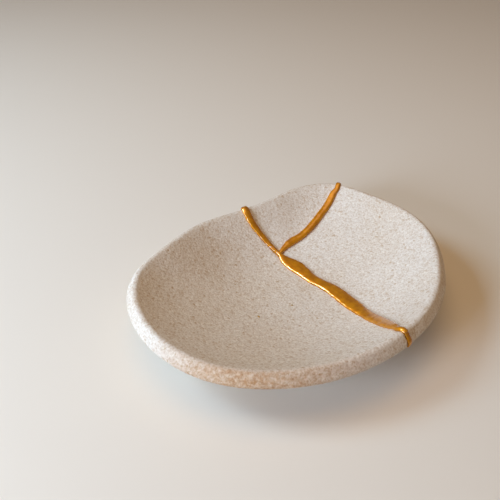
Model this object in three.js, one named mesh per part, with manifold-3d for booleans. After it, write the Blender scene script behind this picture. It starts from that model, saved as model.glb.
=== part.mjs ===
// Shallow ceramic dish, broken into three shards and mended with raised gold seams.
// Millimetres, +Z up. The origin is on the table, under the middle of the dish.
import * as THREE from 'three';
import { mergeVertices } from 'three/addons/utils/BufferGeometryUtils.js';
import Module from 'manifold-3d';

const wasm = await Module();
wasm.setup();

// Sizes of the dish, in millimetres and degrees
const bowl_length = 162;
const bowl_breadth = 159;
const rim_height = 30;
const wall_thickness = 8;
const floor_thickness = 7;
const rim_slope = 36;
const foot_length = 60;

// How square the wall's edge is: 2 is a half round, and more leaves a flat face with worn corners
const edge_squareness = 5;

// The rim sinks a little where the first short seam crosses it
const rim_dip = 2.5;
const rim_dip_azimuth = 117;
const rim_dip_spread = 24;

// Share of the way out to the rim at which the well stops being round in plan
const round_share = 0.4;

// Sizes of the gold
const joint_width = 1.2;
const fit_gap = 0.3;
const joint_bite = 0.3;
const bead_height = 1.1;
const bead_full_width = 4;
const bead_edge = 0.2;
const bead_lead = 1;
const outer_bead = { width: 2.2, height: 0.4 };
const outer_bead_clearance = 3.2;
const lip_angle = 74;
const lip_fade = 32;
const foot_recess = 0.2;

// Plan outline of the rim's crest: azimuth, then radius from the well's centre as a share
const rim_outline = [
  [0, 0.913], [30, 1.024], [58, 1.030], [72, 1.055], [84, 0.976], [100, 0.824],
  [120, 0.758], [145, 0.808], [168, 0.891], [186, 1.029], [204, 1.069], [235, 1.033],
  [265, 0.921], [290, 0.855], [315, 0.838], [340, 0.871],
];

// Seams in plan, from the junction to the rim. A point is its place from the well's
// centre, in shares of half the length and half the breadth, and the bead's width there.
const junction = [-0.092, 0.412];
const junction_width = 1.5;
const seams = {
  back_left: {
    route: [
      [-0.139, 0.454, 2.3], [-0.212, 0.518, 3.0], [-0.286, 0.581, 3.7], [-0.335, 0.662, 4.2],
    ],
    lip: { width: 3.2, height: 0.8 },
  },
  back_right: {
    route: [
      [-0.050, 0.471, 3.0], [-0.004, 0.516, 4.3], [0.073, 0.574, 4.0], [0.140, 0.642, 4.0],
      [0.218, 0.744, 4.0], [0.276, 0.820, 4.0], [0.326, 0.904, 3.6], [0.363, 0.956, 2.5],
    ],
    lip: { width: 2.4, height: 0.7 },
  },
  front: {
    route: [
      [-0.049, 0.353, 5.7], [0.022, 0.290, 8.2], [0.082, 0.216, 6.6], [0.119, 0.164, 6.0],
      [0.168, 0.123, 5.7], [0.237, 0.057, 6.9], [0.292, -0.021, 7.6], [0.357, -0.132, 7.2],
      [0.415, -0.249, 5.7], [0.464, -0.371, 5.7], [0.484, -0.435, 5.5], [0.500, -0.500, 4.4],
      [0.518, -0.564, 2.9], [0.546, -0.615, 2.0],
    ],
    lip: { width: 3.2, height: 0.9 },
  },
};

// How finely the surfaces are divided
const rim_steps = 92;
const well_steps = 12;
const edge_steps = 10;
const flank_steps = 6;
const seam_step = 3.2;
const crown_steps = 6;
const hub_sides = 10;
const sector_steps = 8;
const weld_distance = 1e-4;
const small_turn = 0.001;
const small_step = 0.01;

const edge_radius = wall_thickness / 2;
const slope = THREE.MathUtils.degToRad(rim_slope);
const reach_power = edge_squareness / (edge_squareness - 1);
const edge_reach = edge_radius
  * (Math.cos(slope) ** reach_power + Math.sin(slope) ** reach_power) ** (1 / reach_power);
const cut_depth = rim_height + 2 * wall_thickness;
const outer_bound = bowl_length + bowl_breadth;

// The rim's outline as a closed smooth curve
function makeOutline() {
  const turns = [...rim_outline, [rim_outline[0][0] + 360, rim_outline[0][1]]];
  const curve = new THREE.CubicInterpolant(
    turns.map(([azimuth]) => azimuth), turns.map(([, radius]) => radius), 1, new Float64Array(1));
  curve.settings = { endingStart: THREE.WrapAroundEnding, endingEnd: THREE.WrapAroundEnding };
  return (azimuth) => {
    const degrees = THREE.MathUtils.euclideanModulo(THREE.MathUtils.radToDeg(azimuth), 360);
    const radius = curve.evaluate(degrees)[0];
    return new THREE.Vector2(Math.cos(azimuth), Math.sin(azimuth)).multiplyScalar(radius);
  };
}

const outlineShare = makeOutline();
const share_box = new THREE.Box2();
for (let degree = 0; degree < 360; degree += 1) {
  share_box.expandByPoint(outlineShare(THREE.MathUtils.degToRad(degree)));
}
const share_size = share_box.getSize(new THREE.Vector2());
const stretch = new THREE.Vector2(
  (bowl_length - 2 * edge_reach) / share_size.x, (bowl_breadth - 2 * edge_reach) / share_size.y);
const well_centre = share_box.getCenter(new THREE.Vector2()).negate().multiply(stretch);

// The rim at one azimuth: its crest's direction and radius from the well's centre, how much
// longer a radial cut through the wall is than a square one, and the height of its edge
function rimAt(azimuth) {
  const crest = outlineShare(azimuth).multiply(stretch);
  const ahead = outlineShare(azimuth + small_turn).multiply(stretch);
  const behind = outlineShare(azimuth - small_turn).multiply(stretch);
  const along = ahead.sub(behind).normalize();
  const direction = crest.clone().normalize();
  const radius = crest.length();
  const slant = 1 / Math.abs(direction.cross(along));
  const turn = THREE.MathUtils.radToDeg(azimuth) - rim_dip_azimuth;
  const from_dip = THREE.MathUtils.euclideanModulo(turn + 180, 360) - 180;
  const dip = rim_dip * Math.exp(-0.5 * (from_dip / rim_dip_spread) ** 2);
  return { direction, radius, slant, edge_z: rim_height - dip - edge_reach };
}

const mean_rim = { radius: (bowl_length + bowl_breadth) / 4 - edge_reach, slant: 1 };

function rimNear(point) {
  return rimAt(Math.atan2(
    (point.y - well_centre.y) / stretch.y, (point.x - well_centre.x) / stretch.x));
}

function radiusOf(point) {
  return Math.hypot(point.x - well_centre.x, point.y - well_centre.y);
}

// Places on the dish's section at one azimuth, as radius and height; lift moves them off it
function wellEnd(rim) {
  return rim.radius - edge_radius * rim.slant * Math.sin(slope);
}

function flankEnd(rim) {
  return rim.radius + edge_radius * rim.slant * Math.sin(slope);
}

function footRadius(rim) {
  return rim.radius * foot_length / (bowl_length - 2 * edge_reach);
}

// Height over a curve that starts flat and meets the edge at the rim's slope
function rise(rim, radius, start, end, climb) {
  const reach = end - start;
  const power = Math.tan(slope) / rim.slant * reach / climb;
  return climb * (Math.max(0, radius - start) / reach) ** power;
}

// The well follows the rim's outline near the rim and turns round towards its middle
function wellHeight(rim, radius) {
  const climb = rim.edge_z + edge_radius * Math.cos(slope) - floor_thickness;
  const outlined = rise(rim, radius, 0, wellEnd(rim), climb);
  const rounded = rise(mean_rim, radius, 0, wellEnd(mean_rim), climb);
  const near_rim = THREE.MathUtils.smoothstep(radius / wellEnd(rim), round_share, 1);
  return floor_thickness + THREE.MathUtils.lerp(rounded, outlined, near_rim);
}

function flankHeight(rim, radius) {
  const climb = rim.edge_z - edge_radius * Math.cos(slope);
  return rise(rim, radius, footRadius(rim), flankEnd(rim), climb);
}

function lifted(height, rim, radius, lift) {
  const climb = height(rim, radius + small_step) - height(rim, radius - small_step);
  const tilt = Math.atan(climb / (2 * small_step));
  return new THREE.Vector2(
    radius - lift * Math.sin(tilt), height(rim, radius) + lift * Math.cos(tilt));
}

function wellPoint(rim, radius, lift = 0) {
  return lifted(wellHeight, rim, radius, lift);
}

function flankPoint(rim, radius, lift = 0) {
  return lifted(flankHeight, rim, radius, -lift);
}

// The edge of the wall, by the angle from straight up towards the outside
function edgePoint(rim, angle, lift = 0) {
  const [along, off] = [Math.sin(angle + slope), Math.cos(angle + slope)].map(Math.abs);
  const bulge = (along ** edge_squareness + off ** edge_squareness) ** (-1 / edge_squareness);
  const across = (edge_radius * bulge * rim.slant + lift) * Math.sin(angle);
  const up = (edge_radius * bulge + lift) * Math.cos(angle);
  return new THREE.Vector2(rim.radius + across, rim.edge_z + up);
}

function inSpace(rim, { x: radius, y: height }) {
  const plan = rim.direction.clone().multiplyScalar(radius).add(well_centre);
  return new THREE.Vector3(plan.x, plan.y, height);
}

// The place straight above or below a point of the plan, in the well or on the flank
function onWell(point) {
  const rim = rimNear(point);
  return inSpace(rim, wellPoint(rim, radiusOf(point)));
}

function onFlank(point) {
  const rim = rimNear(point);
  return inSpace(rim, flankPoint(rim, radiusOf(point)));
}

// The place on the dish's surface nearest to a point beside it
function settle(point, lift = 0) {
  const rim = rimNear(point);
  const radius = radiusOf(point);
  const across = (radius - rim.radius) / rim.slant;
  const up = point.z - rim.edge_z;
  if (across * Math.cos(slope) + up * Math.sin(slope) > 0) {
    return inSpace(rim, edgePoint(rim, Math.atan2(across, up), lift));
  }
  const middle = (wellPoint(rim, radius).y + flankPoint(rim, radius).y) / 2;
  const place = point.z > middle ? wellPoint : flankPoint;
  return inSpace(rim, place(rim, radius, lift));
}

// A closed skin over rings of points, with a fan at each end
function skin(rings) {
  const count = rings[0].length;
  const points = rings.flat();
  const faces = [];
  for (let ring = 0; ring + 1 < rings.length; ring += 1) {
    for (let side = 0; side < count; side += 1) {
      const a = ring * count + side;
      const b = ring * count + (side + 1) % count;
      faces.push(a, a + count, b, b, a + count, b + count);
    }
  }
  const ends = [[rings[0], 0, true], [rings.at(-1), (rings.length - 1) * count, false]];
  for (const [ring, first, start] of ends) {
    const middle = ring.reduce((sum, point) => sum.add(point), new THREE.Vector3());
    points.push(middle.divideScalar(count));
    for (let side = 0; side < count; side += 1) {
      const pair = [first + side, first + (side + 1) % count];
      faces.push(points.length - 1, ...(start ? pair : pair.reverse()));
    }
  }
  const geometry = new THREE.BufferGeometry().setFromPoints(points);
  geometry.setIndex(faces);
  return toSolid(geometry);
}

function toSolid(geometry) {
  geometry.deleteAttribute('normal');
  geometry.deleteAttribute('uv');
  const merged = mergeVertices(geometry, weld_distance);
  const index = merged.index.array;
  const triangles = [];
  for (let i = 0; i < index.length; i += 3) {
    const [a, b, c] = index.slice(i, i + 3);
    if (a !== b && b !== c && c !== a) triangles.push(a, b, c);
  }
  return new wasm.Manifold(new wasm.Mesh({
    numProp: 3,
    vertProperties: new Float32Array(merged.attributes.position.array),
    triVerts: new Uint32Array(triangles),
  }));
}

// The whole dish, swollen by lift and cut off flat at its base
function makeBowl(lift = 0, base = 0) {
  const rims = Array.from({ length: rim_steps }, (_, i) => rimAt(2 * Math.PI * i / rim_steps));
  const ring = (place) => rims.map((rim) => {
    const point = place(rim);
    point.y = Math.max(point.y, base);
    return inSpace(rim, point);
  });
  const rings = [];
  for (let i = 1; i <= well_steps; i += 1) {
    rings.push(ring((rim) => wellPoint(rim, wellEnd(rim) * i / well_steps, lift)));
  }
  for (let i = 1; i < edge_steps; i += 1) {
    rings.push(ring((rim) => edgePoint(rim, Math.PI * i / edge_steps - slope, lift)));
  }
  for (let i = flank_steps; i >= 0; i -= 1) {
    const radius = (rim) => THREE.MathUtils.lerp(footRadius(rim), flankEnd(rim), i / flank_steps);
    rings.push(ring((rim) => flankPoint(rim, radius(rim), lift)));
  }
  return skin(rings);
}

// A seam's line in plan, inside the edge, as points that carry the bead's width in z
function planLine(seam) {
  const half = new THREE.Vector2(bowl_length / 2, bowl_breadth / 2);
  const place = ([x, y, width]) => new THREE.Vector3(
    x * half.x + well_centre.x, y * half.y + well_centre.y, width);
  const points = [[...junction, junction_width], ...seam.route].map(place);
  const last = points.at(-1);
  const rim = rimNear(last);
  const crest = inSpace(rim, new THREE.Vector2(wellEnd(rim), last.z));
  points[points.length - 1] = crest;
  const curve = new THREE.CatmullRomCurve3(points);
  return curve.getSpacedPoints(Math.ceil(curve.getLength() / seam_step));
}

// The line carried on radially, clear of the rim
function planRoute(seam) {
  const line = planLine(seam);
  const rim = rimNear(line.at(-1));
  return [...line, inSpace(rim, new THREE.Vector2(rim.radius + 2 * wall_thickness, 0))];
}

function prism(outline) {
  const shape = new THREE.Shape(outline.map(({ x, y }) => new THREE.Vector2(x, y)));
  const geometry = new THREE.ExtrudeGeometry(shape, { depth: cut_depth, bevelEnabled: false });
  geometry.translate(0, 0, -wall_thickness);
  return toSolid(geometry);
}

// An upright sheet of even width along a seam
function sheet(seam, width) {
  const route = planRoute(seam);
  const sides = [-1, 1].map((side) => route.map((point, i) => {
    const before = route[Math.max(i - 1, 0)];
    const after = route[Math.min(i + 1, route.length - 1)];
    const along = new THREE.Vector2(after.x - before.x, after.y - before.y).normalize();
    const offset = side * width / 2;
    return new THREE.Vector2(point.x - along.y * offset, point.y + along.x * offset);
  }));
  return prism([...sides[0], ...sides[1].reverse()]);
}

function hub(width) {
  const place = planLine(seams.front)[0];
  const geometry = new THREE.CylinderGeometry(width / 2, width / 2, cut_depth, hub_sides);
  geometry.rotateX(Math.PI / 2);
  geometry.translate(place.x, place.y, cut_depth / 2 - wall_thickness);
  return toSolid(geometry);
}

function sheets(width) {
  return Object.values(seams).reduce((sum, seam) => sum.add(sheet(seam, width)), hub(width));
}

// The part of the plan between two seams, counted anticlockwise
function sector(from, to) {
  const start = planRoute(from);
  const end = planRoute(to);
  const azimuth = ({ x, y }) => Math.atan2(y - well_centre.y, x - well_centre.x);
  const first = azimuth(start.at(-1));
  const sweep = THREE.MathUtils.euclideanModulo(azimuth(end.at(-1)) - first, 2 * Math.PI);
  const far = Array.from({ length: sector_steps + 1 }, (_, i) => {
    const angle = first + sweep * i / sector_steps;
    return new THREE.Vector2(Math.cos(angle), Math.sin(angle)).multiplyScalar(outer_bound);
  });
  return prism([...start, ...far, ...end.slice(1).reverse()]);
}

// The bead's path: along the well, over the edge and down the flank, with width and height
function beadPath(seam) {
  const line = planLine(seam);
  const back = line[0].clone().sub(line[1]).setZ(0).setLength(bead_lead);
  const start = line[0].clone().add(back);
  const inner = [start, ...line].map((point) => ({
    place: onWell(point),
    width: point.z,
    height: bead_height * Math.min(1, Math.sqrt(point.z / bead_full_width)),
  }));
  const outer = line.slice(0, -1).reverse().filter((_, i) => i % 2).map((point) => ({
    ...outer_bead,
    place: onFlank(point),
  }));
  const clear = outer.filter(({ place }) => place.z > outer_bead_clearance);
  return [...inner, ...edgePath(seam, inner.at(-1)), ...clear];
}

// Over the edge the bead swells to the lip, and then shrinks to the outer bead
function edgePath(seam, from) {
  const rim = rimNear(from.place);
  const turn = THREE.MathUtils.degToRad(lip_angle) + slope;
  const fade = THREE.MathUtils.degToRad(lip_fade);
  return Array.from({ length: edge_steps }, (_, i) => {
    const angle = Math.PI * (i + 1) / edge_steps;
    const swell = THREE.MathUtils.smoothstep(angle, 0, turn);
    const shrink = THREE.MathUtils.smoothstep(angle, turn, turn + fade);
    const size = (key) => THREE.MathUtils.lerp(
      THREE.MathUtils.lerp(from[key], seam.lip[key], swell), outer_bead[key], shrink);
    const place = inSpace(rim, edgePoint(rim, angle - slope));
    return { place, width: size('width'), height: size('height') };
  });
}

// One ring of a bead: a low crown above, and below it a line that follows the dish
function beadRing(path, i) {
  const { place, width, height } = path[i];
  const before = path[Math.max(i - 1, 0)].place;
  const after = path[Math.min(i + 1, path.length - 1)].place;
  const along = after.clone().sub(before).normalize();
  const off = settle(place, 1).sub(settle(place));
  const across = off.cross(along).normalize();
  const at = (share, lift) => settle(place.clone().addScaledVector(across, share * width / 2), lift);
  const crown = Array.from({ length: crown_steps + 1 }, (_, step) => {
    const turn = Math.PI * step / crown_steps;
    const swell = bead_edge + (height - bead_edge) * Math.sin(turn);
    return at(-Math.cos(turn), fit_gap + swell);
  });
  const under = [1, -1].map((share) => at(share, fit_gap));
  return [...crown, ...under];
}

function makeBead(seam) {
  const path = beadPath(seam);
  return skin(path.map((_, i) => beadRing(path, i)));
}

function makeGold() {
  const joint = sheets(joint_width).intersect(makeBowl(fit_gap + joint_bite, foot_recess));
  return Object.values(seams).reduce((sum, seam) => sum.add(makeBead(seam)), joint);
}

function makeShard(bowl, from, to) {
  return bowl.intersect(sector(from, to)).subtract(sheets(joint_width + 2 * fit_gap));
}

function makeMesh(name, solid, colour, roughness, metalness) {
  const { vertProperties, triVerts } = solid.getMesh();
  const geometry = new THREE.BufferGeometry();
  geometry.setAttribute('position', new THREE.BufferAttribute(vertProperties, 3));
  geometry.setIndex(new THREE.BufferAttribute(triVerts, 1));
  geometry.computeVertexNormals();
  const material = new THREE.MeshStandardMaterial({ color: colour, roughness, metalness });
  const mesh = new THREE.Mesh(geometry, material);
  mesh.name = name;
  return mesh;
}

const bowl = makeBowl();
const part = new THREE.Group();
const shards = [
  ['shard_right', seams.front, seams.back_right],
  ['shard_back', seams.back_right, seams.back_left],
  ['shard_front', seams.back_left, seams.front],
];
for (const [name, from, to] of shards) {
  part.add(makeMesh(name, makeShard(bowl, from, to), 0xd8cfc4, 0.95, 0));
}
part.add(makeMesh('gold_seam', makeGold(), 0xc8891c, 0.25, 1));

export default part;
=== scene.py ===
"""Shallow stoneware dish, broken in three and mended with raised gold seams.

Each shard is a finely divided copy of its solid with sandy grain in its mesh, and the gold is
a smooth poured bead that has settled on the clay. One operator makes each group of pieces.
"""
import math

import bpy
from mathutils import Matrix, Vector
from mathutils.bvhtree import BVHTree


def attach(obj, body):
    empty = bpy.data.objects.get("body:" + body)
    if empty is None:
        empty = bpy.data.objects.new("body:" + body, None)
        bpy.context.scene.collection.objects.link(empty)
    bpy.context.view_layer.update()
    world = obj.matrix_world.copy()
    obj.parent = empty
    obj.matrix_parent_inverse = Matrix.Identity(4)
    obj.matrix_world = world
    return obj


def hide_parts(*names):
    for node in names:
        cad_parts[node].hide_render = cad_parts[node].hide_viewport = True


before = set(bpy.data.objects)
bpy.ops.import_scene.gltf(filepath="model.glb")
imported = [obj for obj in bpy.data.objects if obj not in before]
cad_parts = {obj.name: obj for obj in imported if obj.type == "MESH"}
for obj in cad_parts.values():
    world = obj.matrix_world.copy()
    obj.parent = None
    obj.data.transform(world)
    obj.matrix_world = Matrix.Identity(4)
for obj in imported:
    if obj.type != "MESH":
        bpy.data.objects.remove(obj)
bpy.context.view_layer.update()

bl_info = {
    "name": "Gold-mended stoneware dish",
    "version": (1, 0, 0),
    "blender": (4, 5, 0),
    "location": "View3D > Sidebar > Mended dish",
    "description": "Models and finishes a hand-made dish mended with gold",
    "category": "Add Mesh",
}

MM = 0.001
SHARDS = ("shard_front", "shard_back", "shard_right")
SEAM = "gold_seam"
FRONT_CLAY = "shard_front_clay"

# Corners of the solids' triangles that lie closer than this are one corner
MERGE_GAP = 0.001 * MM
# Edges that bend more than this are the edges of the break and of the rim, and stay sharp
SHARP_EDGE = math.radians(16)
# Two triangles make a quad when their bend and the quad's skew stay below these
QUAD_BEND = math.radians(25)
QUAD_SKEW = math.radians(50)

# The numbers of a colour mix node's sockets, whose names are shared by hidden ones
MIX_FACTOR = 0
MIX_FIRST = 6
MIX_SECOND = 7
MIX_RESULT = 2


class StonewareSettings(bpy.types.PropertyGroup):
    """Sizes and colours of the clay"""

    mesh_step: bpy.props.FloatProperty(
        name="Mesh step", description="Side of the smallest faces of a shard",
        default=0.64 * MM, subtype="DISTANCE", unit="LENGTH", precision=5)
    grit: bpy.props.FloatProperty(
        name="Grit", description="Width of the sand grains in the clay",
        default=1.2 * MM, subtype="DISTANCE", unit="LENGTH", precision=5)
    grit_relief: bpy.props.FloatProperty(
        name="Grit relief", description="How far the grains stand out",
        default=0.14 * MM, subtype="DISTANCE", unit="LENGTH", precision=5)
    hand_wave: bpy.props.FloatProperty(
        name="Hand wave", description="Length of the uneven swells that hand building leaves",
        default=16 * MM, subtype="DISTANCE", unit="LENGTH", precision=5)
    hand_relief: bpy.props.FloatProperty(
        name="Hand relief", description="Height of those swells",
        default=0.25 * MM, subtype="DISTANCE", unit="LENGTH", precision=5)
    clay: bpy.props.StringProperty(
        name="Clay", description="Colour of the fine clay, as sRGB hex", default="#D9D0C5")
    pale_grain: bpy.props.StringProperty(
        name="Pale grain", description="Colour of the pale quartz grains", default="#EBE4DA")
    tan_grain: bpy.props.StringProperty(
        name="Tan grain", description="Colour of the tan sand grains", default="#BAA184")
    warm_cloud: bpy.props.StringProperty(
        name="Warm cloud", description="Broad warm patches in the clay", default="#D3C2AE")
    cool_cloud: bpy.props.StringProperty(
        name="Cool cloud", description="Broad cool patches in the clay", default="#E2DBD3")
    # Tints of the front rim's tan specks and of the clay between them; both also paint warm shade
    # on the rim's edge
    rim_speck_and_shade: bpy.props.StringProperty(
        name="Toasted", description="Tint of the specks that the fire browned on the front rim",
        default="#D8B08A")
    rim_shade_between_specks: bpy.props.StringProperty(
        name="Between toasted", description="Tint of the clay between those specks",
        default="#F0DFCE")


class GoldSettings(bpy.types.PropertyGroup):
    """Sizes and colours of the gold"""

    mesh_step: bpy.props.FloatProperty(
        name="Mesh step", description="Side of the smallest faces of the gold",
        default=0.34 * MM, subtype="DISTANCE", unit="LENGTH", precision=5)
    reach: bpy.props.FloatProperty(
        name="Reach", description="Gap to the clay that the gold flows across",
        default=0.3 * MM, subtype="DISTANCE", unit="LENGTH", precision=5)
    bite: bpy.props.FloatProperty(
        name="Bite", description="How deep the edge of the gold sinks between the grains",
        default=0.15 * MM, subtype="DISTANCE", unit="LENGTH", precision=5)
    swell: bpy.props.FloatProperty(
        name="Swell", description="How far the poured gold swells past its solid",
        default=0.42 * MM, subtype="DISTANCE", unit="LENGTH", precision=5)
    ripple: bpy.props.FloatProperty(
        name="Ripple", description="Length of the waves in the poured gold",
        default=4.5 * MM, subtype="DISTANCE", unit="LENGTH", precision=5)
    ripple_relief: bpy.props.FloatProperty(
        name="Ripple relief", description="Height of those waves",
        default=0.35 * MM, subtype="DISTANCE", unit="LENGTH", precision=5)
    gold: bpy.props.StringProperty(
        name="Gold", description="Colour of the gold, as sRGB hex", default="#D28C02")
    deep_gold: bpy.props.StringProperty(
        name="Deep gold", description="Colour of the gold where it lies thick",
        default="#B26C00")
    fleck_size: bpy.props.FloatProperty(
        name="Fleck", description="Width of a spilt fleck of gold",
        default=1.25 * MM, subtype="DISTANCE", unit="LENGTH", precision=5)
    dust: bpy.props.StringProperty(
        name="Dust", description="Colour of the spilt gold dust, as sRGB hex", default="#BE9848")
    dark_dust: bpy.props.StringProperty(
        name="Dark dust", description="Colour of the dust where it is rubbed in",
        default="#9C7838")


class StageSettings(bpy.types.PropertyGroup):
    """Camera, floor and light"""

    camera_place: bpy.props.FloatVectorProperty(
        name="Camera", description="Where the camera stands",
        default=(-20.65 * MM, -240.95 * MM, 218.97 * MM), subtype="TRANSLATION",
        unit="LENGTH", precision=5)
    camera_pitch: bpy.props.FloatProperty(
        name="Pitch", description="How far the camera looks down from level",
        default=math.radians(37.28), subtype="ANGLE")
    lens: bpy.props.FloatProperty(
        name="Lens", description="Focal length of the camera",
        default=43.2, subtype="DISTANCE_CAMERA")
    sensor: bpy.props.FloatProperty(
        name="Sensor", description="Width of the camera's square sensor",
        default=36.0, subtype="DISTANCE_CAMERA")
    floor: bpy.props.StringProperty(
        name="Floor", description="Colour of the floor, as sRGB hex", default="#EDE6DA")
    window_power: bpy.props.FloatProperty(
        name="Window", description="Power of the low soft light from the front left", default=6.6,
        unit="POWER")
    side_power: bpy.props.FloatProperty(
        name="Side", description="Power of the cool light from the left", default=4.4,
        unit="POWER")
    glint_power: bpy.props.FloatProperty(
        name="Glint", description="Power of the light on the left that only shows in gloss",
        default=12.0, unit="POWER")
    ceiling_power: bpy.props.FloatProperty(
        name="Ceiling", description="Power of the warm light from above", default=2.9,
        unit="POWER")
    sky: bpy.props.StringProperty(
        name="Sky", description="Colour of the light from all round", default="#FFE0C2")
    sky_strength: bpy.props.FloatProperty(
        name="Sky strength", description="Strength of the light from all round", default=0.17)


def linear(hex_colour):
    """A linear colour with alpha from an sRGB hex one"""
    shares = [int(hex_colour[i:i + 2], 16) / 255 for i in (1, 3, 5)]
    low = [share / 12.92 if share <= 0.04045 else ((share + 0.055) / 1.055) ** 2.4
           for share in shares]
    return (*low, 1.0)


def add_node(tree, kind, settings=None, links=None):
    """Adds a node; settings and links say what its attributes, inputs and ramp stops get"""
    node = tree.nodes.new(kind)
    for key, value in (settings or {}).items():
        if key == "stops":
            place_stops(node.color_ramp.elements, value)
        elif isinstance(key, int) or key in node.inputs:
            node.inputs[key].default_value = value
        else:
            setattr(node, key, value)
    for key, socket in (links or {}).items():
        tree.links.new(socket, node.inputs[key])
    return node


def place_stops(elements, stops):
    """Gives a colour ramp its stops, each a place and an sRGB hex colour"""
    while len(elements) < len(stops):
        elements.new(0.5)
    for element, (place, colour) in zip(elements, stops):
        element.position = place
        element.color = linear(colour)


def new_material(name, finish):
    """A material with its tree, its shader set to a finish, and the object's coordinates"""
    material = bpy.data.materials.new(name)
    material.use_nodes = True
    tree = material.node_tree
    shader = tree.nodes["Principled BSDF"]
    for key, value in finish.items():
        shader.inputs[key].default_value = value
    place = add_node(tree, "ShaderNodeTexCoord").outputs["Object"]
    return material, tree, shader, place


def rim_specks_and_painted_shade(tree, place):
    """Where the clay gets tan specks and painted warm shade: most on the rim's edge, at the front
    left
    """
    # The specks and painted shade grow from bare to full towards the front, and halve towards the
    # right
    bare_y = -54 * MM
    full_y = -78 * MM
    left_x = -20 * MM
    right_x = 50 * MM
    right_share = 0.5
    # A face on the edge of the rim faces away from the middle of the dish
    inward_facing = -0.5
    outward_facing = 0.3

    flat = add_node(
        tree, "ShaderNodeVectorMath", {"operation": "MULTIPLY", 1: (1, 1, 0)}, {0: place})
    outward = add_node(
        tree, "ShaderNodeVectorMath", {"operation": "NORMALIZE"}, {0: flat.outputs["Vector"]})
    surface = add_node(tree, "ShaderNodeNewGeometry")
    facing = add_node(
        tree, "ShaderNodeVectorMath", {"operation": "DOT_PRODUCT"},
        {0: surface.outputs["Normal"], 1: outward.outputs["Vector"]})
    edge = add_node(
        tree, "ShaderNodeMapRange", {"From Min": inward_facing, "From Max": outward_facing},
        {"Value": facing.outputs["Value"]})
    split = add_node(tree, "ShaderNodeSeparateXYZ", links={"Vector": place})
    front = add_node(
        tree, "ShaderNodeMapRange", {"From Min": bare_y, "From Max": full_y},
        {"Value": split.outputs["Y"]})
    side = add_node(
        tree, "ShaderNodeMapRange",
        {"From Min": left_x, "From Max": right_x, "To Min": 1.0, "To Max": right_share},
        {"Value": split.outputs["X"]})
    front_edge = add_node(
        tree, "ShaderNodeMath", {"operation": "MULTIPLY"},
        {0: edge.outputs["Result"], 1: front.outputs["Result"]})
    rim_speck_and_shade = add_node(
        tree, "ShaderNodeMath", {"operation": "MULTIPLY"},
        {0: front_edge.outputs["Value"], 1: side.outputs["Result"]})
    return rim_speck_and_shade.outputs["Value"]


def sandy_colour(tree, place, grains, clay):
    """The colour of the clay, with its grains, its finer grit and its clouds"""
    # Each grain has its own shade
    shade = add_node(
        tree, "ShaderNodeSeparateColor", links={"Color": grains.outputs["Color"]})
    mottled = add_node(
        tree, "ShaderNodeValToRGB",
        {"stops": [(0.0, clay.tan_grain), (0.16, clay.clay), (0.62, clay.clay),
                   (1.0, clay.pale_grain)]},
        {"Fac": shade.outputs["Red"]})
    # Finer grit between them
    fine_noise = add_node(
        tree, "ShaderNodeTexNoise", {"Scale": 1 / (0.7 * clay.grit), "Detail": 3.0},
        {"Vector": place})
    fine = add_node(
        tree, "ShaderNodeValToRGB",
        {"stops": [(0.36, clay.tan_grain), (0.5, clay.clay), (0.66, clay.pale_grain)]},
        {"Fac": fine_noise.outputs["Fac"]})
    speckled = add_node(
        tree, "ShaderNodeMix", {"data_type": "RGBA", MIX_FACTOR: 0.5},
        {MIX_FIRST: mottled.outputs["Color"], MIX_SECOND: fine.outputs["Color"]})
    # Broad warm and cool clouds about 36 mm across, from uneven firing
    cloud_noise = add_node(
        tree, "ShaderNodeTexNoise", {"Scale": 1 / (36 * MM)}, {"Vector": place})
    clouds = add_node(
        tree, "ShaderNodeValToRGB",
        {"stops": [(0.35, clay.warm_cloud), (0.65, clay.cool_cloud)]},
        {"Fac": cloud_noise.outputs["Fac"]})
    clouded = add_node(
        tree, "ShaderNodeMix",
        {"data_type": "RGBA", "blend_type": "SOFT_LIGHT", MIX_FACTOR: 0.45},
        {MIX_FIRST: speckled.outputs[MIX_RESULT], MIX_SECOND: clouds.outputs["Color"]})
    return clouded.outputs[MIX_RESULT]


def stoneware_material():
    """Coarse stoneware, built by hand and fired without a glaze"""
    # To the eye it is dry and matt, pinkish grey white, and full of pale and tan sand
    clay = bpy.context.scene.stoneware
    material, tree, shader, place = new_material(
        "unglazed_sandy_stoneware", {"Roughness": 0.92, "Specular IOR Level": 0.1})
    # Real grains are 0.5 to 1 mm wide, and these are drawn a little coarser, so that they show
    grains = add_node(
        tree, "ShaderNodeTexVoronoi", {"Scale": 1 / clay.grit}, {"Vector": place})
    # Tan specks on the front of the rim, over a painted warm shade on the rim's edge
    rim_speck_noise = add_node(
        tree, "ShaderNodeTexNoise",
        {"Scale": 1 / (1.5 * clay.grit), "Detail": 3.0, "Roughness": 0.6}, {"Vector": place})
    rim_speck_tones = add_node(
        tree, "ShaderNodeValToRGB",
        {"stops": [(0.34, clay.rim_speck_and_shade), (0.66, clay.rim_shade_between_specks)]},
        {"Fac": rim_speck_noise.outputs["Fac"]})
    rim_speck_and_shade = add_node(
        tree, "ShaderNodeMix", {"data_type": "RGBA", "blend_type": "MULTIPLY"},
        {MIX_FACTOR: rim_specks_and_painted_shade(tree, place),
         MIX_FIRST: sandy_colour(tree, place, grains, clay),
         MIX_SECOND: rim_speck_tones.outputs["Color"]})
    tree.links.new(rim_speck_and_shade.outputs[MIX_RESULT], shader.inputs["Base Color"])
    # Each grain stands up in its middle, and the clay between them is rough
    rough_noise = add_node(
        tree, "ShaderNodeTexNoise",
        {"Scale": 1 / (0.6 * clay.grit), "Detail": 3.0, "Roughness": 0.6}, {"Vector": place})
    height = add_node(
        tree, "ShaderNodeMath", {"operation": "SUBTRACT"},
        {0: rough_noise.outputs["Fac"], 1: grains.outputs["Distance"]})
    bump = add_node(
        tree, "ShaderNodeBump", {"Strength": 0.65, "Distance": 0.16 * MM},
        {"Height": height.outputs["Value"]})
    tree.links.new(bump.outputs["Normal"], shader.inputs["Normal"])
    return material


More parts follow.
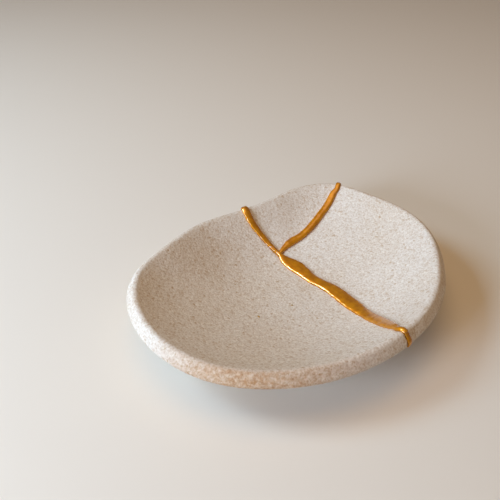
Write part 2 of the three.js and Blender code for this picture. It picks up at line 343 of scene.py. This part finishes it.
def gold_material():
    """Gold powder strewn on lacquer and sealed with a clear coat"""
    # To the eye it is even orange yellow, part metal and part paint, and wet and glossy on top
    gold = bpy.context.scene.gold
    material, tree, shader, place = new_material(
        "gold_powder_in_clear_lacquer",
        {"Metallic": 0.35, "Specular IOR Level": 0.1, "Coat Weight": 1.0, "Coat IOR": 1.65,
         "Coat Roughness": 0.05})
    # The powder lies thicker in blotches about 3 mm across
    depth_noise = add_node(
        tree, "ShaderNodeTexNoise", {"Scale": 1 / (3 * MM), "Detail": 3.0}, {"Vector": place})
    tone = add_node(
        tree, "ShaderNodeValToRGB", {"stops": [(0.3, gold.deep_gold), (0.7, gold.gold)]},
        {"Fac": depth_noise.outputs["Fac"]})
    tree.links.new(tone.outputs["Color"], shader.inputs["Base Color"])
    # It is duller in blotches about 1.2 mm across
    dull_noise = add_node(
        tree, "ShaderNodeTexNoise", {"Scale": 1 / (1.2 * MM), "Detail": 2.0}, {"Vector": place})
    shine = add_node(
        tree, "ShaderNodeMapRange",
        {"From Min": 0.3, "From Max": 0.7, "To Min": 0.34, "To Max": 0.44},
        {"Value": dull_noise.outputs["Fac"]})
    tree.links.new(shine.outputs["Result"], shader.inputs["Roughness"])
    # It lies faintly uneven under the clear coat
    uneven_noise = add_node(
        tree, "ShaderNodeTexNoise", {"Scale": 1 / (1.4 * MM), "Detail": 2.0}, {"Vector": place})
    bump = add_node(
        tree, "ShaderNodeBump", {"Strength": 0.3, "Distance": 0.05 * MM},
        {"Height": uneven_noise.outputs["Fac"]})
    tree.links.new(bump.outputs["Normal"], shader.inputs["Normal"])
    return material


def dust_material():
    """Gold powder that was spilt and rubbed into the clay"""
    # To the eye it is a dull brownish yellow, without the lacquer's gloss
    gold = bpy.context.scene.gold
    material, tree, shader, place = new_material(
        "dry_gold_dust", {"Metallic": 0.2, "Roughness": 0.6})
    speck_noise = add_node(
        tree, "ShaderNodeTexNoise", {"Scale": 1 / (0.5 * MM)}, {"Vector": place})
    tone = add_node(
        tree, "ShaderNodeValToRGB", {"stops": [(0.35, gold.dark_dust), (0.65, gold.dust)]},
        {"Fac": speck_noise.outputs["Fac"]})
    tree.links.new(tone.outputs["Color"], shader.inputs["Base Color"])
    return material


def floor_material():
    """Pale board, painted and waxed"""
    # To the eye it is even, and barely glossy
    stage = bpy.context.scene.stage
    material, tree, shader, place = new_material(
        "pale_waxed_board", {"Base Color": linear(stage.floor), "Specular IOR Level": 0.2})
    wax_noise = add_node(
        tree, "ShaderNodeTexNoise", {"Scale": 1 / (60 * MM)}, {"Vector": place})
    shine = add_node(
        tree, "ShaderNodeMapRange", {"To Min": 0.5, "To Max": 0.58},
        {"Value": wax_noise.outputs["Fac"]})
    tree.links.new(shine.outputs["Result"], shader.inputs["Roughness"])
    return material


def pick(piece):
    """Makes a piece the only selected and active one"""
    bpy.ops.object.select_all(action="DESELECT")
    piece.select_set(True)
    bpy.context.view_layer.objects.active = piece


def copy_of_node(node, name):
    """A new object with a merged copy of a solid's mesh"""
    piece = bpy.data.objects.new(name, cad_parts[node].data.copy())
    bpy.context.scene.collection.objects.link(piece)
    piece.data.name = name
    piece.data.materials.clear()
    pick(piece)
    bpy.ops.object.mode_set(mode="EDIT")
    bpy.ops.mesh.select_all(action="SELECT")
    bpy.ops.mesh.remove_doubles(threshold=MERGE_GAP)
    bpy.ops.object.mode_set(mode="OBJECT")
    return piece


def finish_with(piece, kind, **settings):
    """Adds a modifier with its settings and applies it"""
    pick(piece)
    modifier = piece.modifiers.new(kind.lower(), kind)
    for key, value in settings.items():
        setattr(modifier, key, value)
    bpy.ops.object.modifier_apply(modifier=modifier.name)


def relief(piece, kind, size, height, middle=0.5, **settings):
    """Raises and sinks a piece's surface by a procedural pattern"""
    texture = bpy.data.textures.new(kind.lower(), kind)
    texture.noise_scale = size
    for key, value in settings.items():
        setattr(texture, key, value)
    finish_with(
        piece, "DISPLACE", texture=texture, texture_coords="GLOBAL", strength=height,
        mid_level=middle)
    bpy.data.textures.remove(texture)


def rub_foot(piece):
    """Rubs a piece's foot flat, so that the dish stands on the floor"""
    for vertex in piece.data.vertices:
        vertex.co.z = max(vertex.co.z, 0.0)


def wear(piece, material, slot, *nodes):
    """Smooths a finished piece's shading, and gives it its material, body and nodes; slot is not
    used
    """
    pick(piece)
    bpy.ops.object.shade_smooth()
    piece.data.materials.clear()
    piece.data.materials.append(material)
    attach(piece, "root")
    if nodes:
        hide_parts(*nodes)


def surface_of(piece, upright=0.0):
    """A piece's faces, to be searched for the nearest spot, without the most upright ones"""
    mesh = piece.data
    return BVHTree.FromPolygons(
        [vertex.co for vertex in mesh.vertices],
        [face.vertices for face in mesh.polygons if abs(face.normal.z) >= upright])


def soften_facets(piece):
    """Turns the solid's facets to smooth curves and keeps the sharp edges"""
    pick(piece)
    bpy.ops.object.mode_set(mode="EDIT")
    bpy.ops.mesh.select_mode(type="EDGE")
    bpy.ops.mesh.select_all(action="DESELECT")
    bpy.ops.mesh.edges_select_sharp(sharpness=SHARP_EDGE)
    bpy.ops.transform.edge_crease(value=1.0)
    bpy.ops.mesh.select_all(action="SELECT")
    bpy.ops.mesh.tris_convert_to_quads(face_threshold=QUAD_BEND, shape_threshold=QUAD_SKEW)
    bpy.ops.object.mode_set(mode="OBJECT")
    finish_with(piece, "SUBSURF", levels=2, render_levels=2)


class DISH_OT_shards(bpy.types.Operator):
    """Model the three shards of sandy stoneware"""

    bl_idname = "dish.shards"
    bl_label = "Stoneware shards"

    def execute(self, context):
        clay = context.scene.stoneware
        material = stoneware_material()
        for node in SHARDS:
            piece = copy_of_node(node, node + "_clay")
            soften_facets(piece)
            finish_with(piece, "REMESH", mode="VOXEL", voxel_size=clay.mesh_step)
            finish_with(piece, "SMOOTH", factor=0.5, iterations=4)
            # The hand waves mostly add clay, so their middle is low
            relief(piece, "CLOUDS", clay.hand_wave, clay.hand_relief, middle=0.1)
            # Grains, and lower lumps twice as wide
            relief(piece, "CLOUDS", clay.grit, clay.grit_relief, noise_depth=1)
            relief(piece, "VORONOI", 2 * clay.grit, 0.6 * clay.grit_relief)
            rub_foot(piece)
            wear(piece, material, "stoneware", node)
        return {"FINISHED"}


class DISH_OT_gold(bpy.types.Operator):
    """Model the poured gold that fills the cracks"""

    bl_idname = "dish.gold"
    bl_label = "Gold seam"

    # No gold lies farther from the clay than this
    farthest = 4 * MM
    # Clay that points up less than this is the wall of a crack, which the gold fills
    crack_wall = 0.25
    # The gold is drawn in where the clay points up less than the first of these, as on the
    # edge of the rim, and swells fully past the second, as in the well
    drawn_in_below = 0.66
    full_swell_above = 0.76
    drawn_in_share = -0.3

    def execute(self, context):
        gold = context.scene.gold
        piece = copy_of_node(SEAM, "gold_bead")
        finish_with(piece, "REMESH", mode="VOXEL", voxel_size=gold.mesh_step)
        finish_with(piece, "SMOOTH", factor=0.5, iterations=5)
        self.swell(piece, gold)
        relief(piece, "CLOUDS", gold.ripple, gold.ripple_relief, noise_depth=1)
        self.settle(piece, gold)
        finish_with(piece, "SMOOTH", factor=0.5, iterations=1)
        rub_foot(piece)
        wear(piece, gold_material(), "gold", SEAM)
        return {"FINISHED"}

    def clay_near(self, piece, reach):
        """Each vertex that has clay within reach, with its distance, the spot and its normal"""
        trees = [surface_of(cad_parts[node], self.crack_wall) for node in SHARDS]
        for vertex in piece.data.vertices:
            found = [tree.find_nearest(vertex.co, reach) for tree in trees]
            near = [(distance, spot, normal) for spot, normal, _, distance in found if spot]
            if near:
                yield vertex, *min(near, key=lambda hit: hit[0])

    def swell(self, piece, gold):
        """Fills the bead out in the well, and draws it in on the edge of the rim"""
        span = self.full_swell_above - self.drawn_in_below
        moves = []
        for vertex, _, _, normal in self.clay_near(piece, self.farthest):
            share = (normal.z - self.drawn_in_below) / span
            share = max(self.drawn_in_share, min(1.0, share))
            moves.append((vertex, vertex.normal * gold.swell * share))
        # A vertex's normal changes as its neighbours move, so all are read before any moves
        for vertex, move in moves:
            vertex.co += move

    def settle(self, piece, gold):
        """Lets the edges of the gold flow on to the clay, fully in the nearer half of its reach"""
        for vertex, distance, spot, normal in self.clay_near(piece, gold.reach):
            share = min(1.0, 2 * (1 - distance / gold.reach))
            vertex.co = vertex.co.lerp(spot - normal * gold.bite, share)


class DISH_OT_flecks(bpy.types.Operator):
    """Model the flecks of gold spilt in the well"""

    bl_idname = "dish.flecks"
    bl_label = "Gold flecks"

    # Each fleck's place, its length as a share of its width, and its turn
    flecks = (
        (1.2 * MM, -10.1 * MM, 1.0, 0.0),
        (-16.3 * MM, -20.4 * MM, 1.7, math.radians(-50)),
    )
    above_dish = 50 * MM
    breadth = 0.9
    thickness = 0.35

    def execute(self, context):
        size = context.scene.gold.fleck_size
        clay = surface_of(bpy.data.objects[FRONT_CLAY])
        parts = [self.fleck(clay, size, *fleck) for fleck in self.flecks]
        bpy.ops.object.select_all(action="DESELECT")
        for part in parts:
            part.select_set(True)
        context.view_layer.objects.active = parts[0]
        bpy.ops.object.join()
        piece = context.object
        piece.name = "gold_flecks"
        relief(piece, "CLOUDS", 0.6 * size, 0.25 * size)
        wear(piece, dust_material(), "gold")
        return {"FINISHED"}

    def fleck(self, clay, size, x, y, length, turn):
        """A flat grain that lies half sunk in the clay below its place"""
        spot, _, _, _ = clay.ray_cast(Vector((x, y, self.above_dish)), Vector((0, 0, -1)))
        if spot is None:
            raise RuntimeError("A fleck has no clay under it")
        bpy.ops.object.select_all(action="DESELECT")
        bpy.ops.mesh.primitive_uv_sphere_add(
            segments=16, ring_count=10, radius=size / 2, location=spot, rotation=(0, 0, turn))
        part = bpy.context.object
        part.scale = (length, self.breadth, self.thickness)
        bpy.ops.object.transform_apply(location=True, rotation=True, scale=True)
        return part


class DISH_OT_stage(bpy.types.Operator):
    """Set the floor, the lights and the camera"""

    bl_idname = "dish.stage"
    bl_label = "Stage"

    floor_side = 4.0
    floor_gap = 0.02 * MM
    # Each light's side and place in metres, and its colour
    lamps = {
        "window": (0.3, (-0.648, -0.544, 0.308), "#CEE3FF"),
        "side": (0.3, (-0.7, 0.0, 0.61), "#C2E4FF"),
        "glint": (0.6, (-0.72, 0.0, 0.6), "#FFF4DC"),
        "ceiling": (0.7, (-0.1, 0.0, 1.0), "#FFD29A"),
    }

    def execute(self, context):
        stage = context.scene.stage
        bpy.ops.object.select_all(action="DESELECT")
        bpy.ops.mesh.primitive_plane_add(size=self.floor_side, location=(0, 0, -self.floor_gap))
        floor = context.object
        floor.name = "floor"
        floor.data.materials.append(floor_material())
        for name, (side, place, colour) in self.lamps.items():
            self.area(name, getattr(stage, name + "_power"), side, place, colour)
        # The glint draws the line of light on the gold's edges, and lights no clay
        bpy.data.objects["glint"].visible_diffuse = False
        self.sky(context.scene, stage)
        bpy.ops.object.camera_add(
            location=stage.camera_place,
            rotation=(math.pi / 2 - stage.camera_pitch, 0, 0))
        camera = context.object
        camera.data.lens = stage.lens
        camera.data.sensor_width = stage.sensor
        context.scene.camera = camera
        context.scene.view_settings.view_transform = "Standard"
        return {"FINISHED"}

    def area(self, name, power, side, place, colour):
        """A square light that faces the dish"""
        bpy.ops.object.light_add(type="AREA", location=place)
        lamp = bpy.context.object
        lamp.name = name
        lamp.data.energy = power
        lamp.data.size = side
        lamp.data.color = linear(colour)[:3]
        lamp.rotation_euler = (-Vector(place)).to_track_quat("-Z", "Y").to_euler()

    def sky(self, scene, stage):
        """Even light from all round"""
        world = bpy.data.worlds.new("studio")
        world.use_nodes = True
        back = world.node_tree.nodes["Background"]
        back.inputs["Color"].default_value = linear(stage.sky)
        back.inputs["Strength"].default_value = stage.sky_strength
        scene.world = world


class DISH_PT_panel(bpy.types.Panel):
    """Lists the pieces of the dish"""

    bl_idname = "DISH_PT_panel"
    bl_label = "Mended dish"
    bl_space_type = "VIEW_3D"
    bl_region_type = "UI"
    bl_category = "Mended dish"

    def draw(self, context):
        for operator in OPERATORS:
            self.layout.operator(operator.bl_idname)


SETTINGS = {"stoneware": StonewareSettings, "gold": GoldSettings, "stage": StageSettings}
OPERATORS = (DISH_OT_shards, DISH_OT_gold, DISH_OT_flecks, DISH_OT_stage)
CLASSES = (*SETTINGS.values(), *OPERATORS, DISH_PT_panel)


def register():
    for cls in CLASSES:
        bpy.utils.register_class(cls)
    for name, cls in SETTINGS.items():
        setattr(bpy.types.Scene, name, bpy.props.PointerProperty(type=cls))


def unregister():
    for name in SETTINGS:
        delattr(bpy.types.Scene, name)
    for cls in reversed(CLASSES):
        bpy.utils.unregister_class(cls)


def main():
    register()
    bpy.ops.dish.shards()
    bpy.ops.dish.gold()
    bpy.ops.dish.flecks()
    bpy.ops.dish.stage()


if __name__ == "__main__":
    main()
